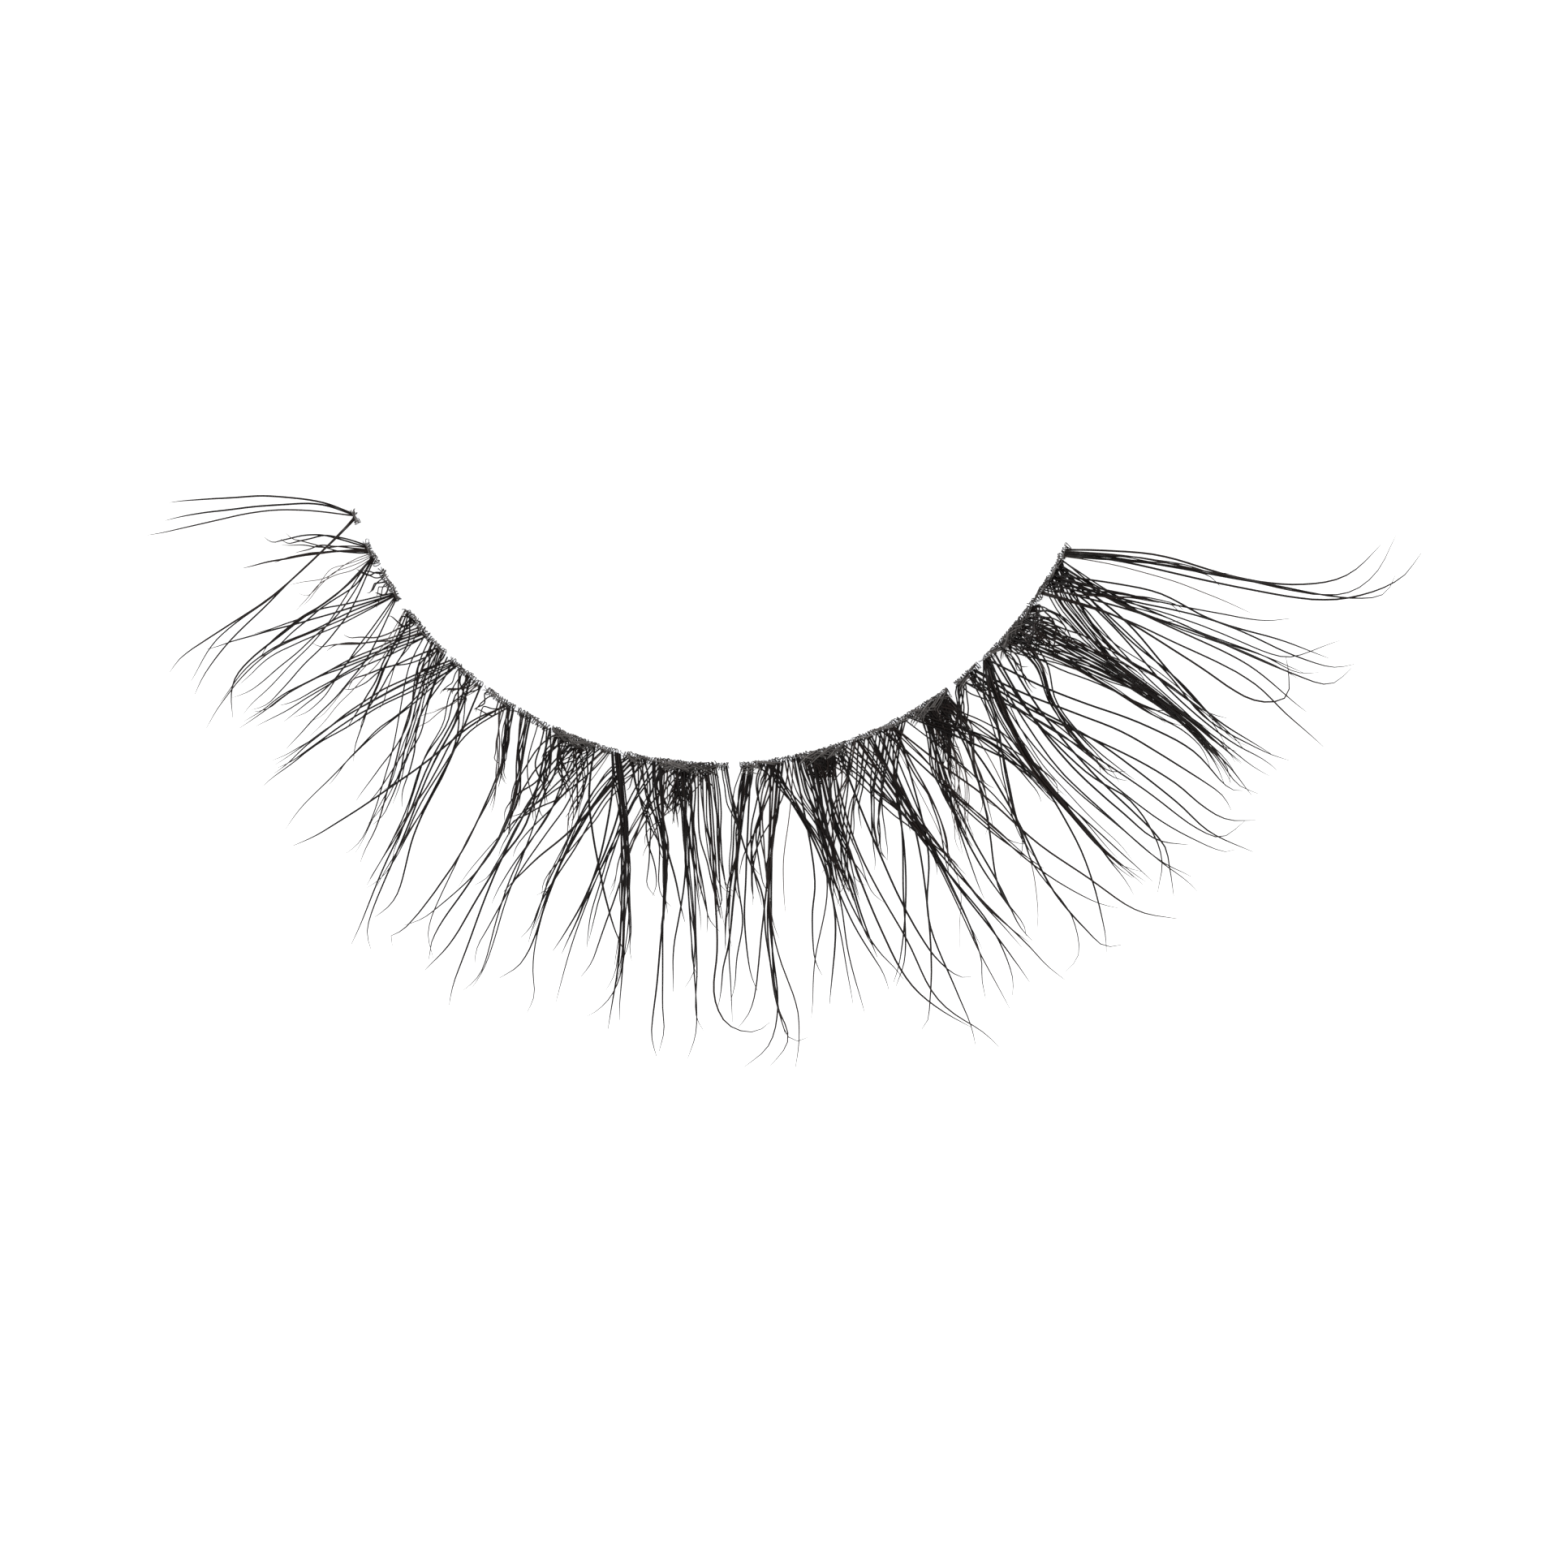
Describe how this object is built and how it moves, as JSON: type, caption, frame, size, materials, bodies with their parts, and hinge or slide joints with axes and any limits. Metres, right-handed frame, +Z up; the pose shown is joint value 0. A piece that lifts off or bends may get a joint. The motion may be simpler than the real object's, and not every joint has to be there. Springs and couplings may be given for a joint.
{
  "type": "false eyelash strip",
  "caption": "Wispy false eyelash strip: a clear nylon line bent in an arc, carrying knotted runs of crossing, tapering dark lashes that curl up at their tips.",
  "frame": {"origin": "on the surface that the strip lies on, under the centre of its box seen from above", "axes": "+Z up from the surface, +X from the inner corner towards the outer corner, -Y from the band towards the tips in the middle"},
  "size_m": [0.0476, 0.0214, 0.0057],
  "materials": {
    "fibre": "soft satin synthetic lash fibre, near black with a warm brown edge",
    "clear_line": "clear nylon line, smooth",
    "knot": "tight dark knots under a thin skin of clear glue"
  },
  "bodies": {
    "root": {"band": "clear_line", "inner_corner_tuft": "fibre", "inner_side_tuft": "fibre", "inner_fringe": "fibre", "middle_fringe": "fibre", "outer_middle_fringe": "fibre", "outer_side_tuft": "fibre", "outer_corner_fringe": "fibre"}
  },
  "joints": []
}
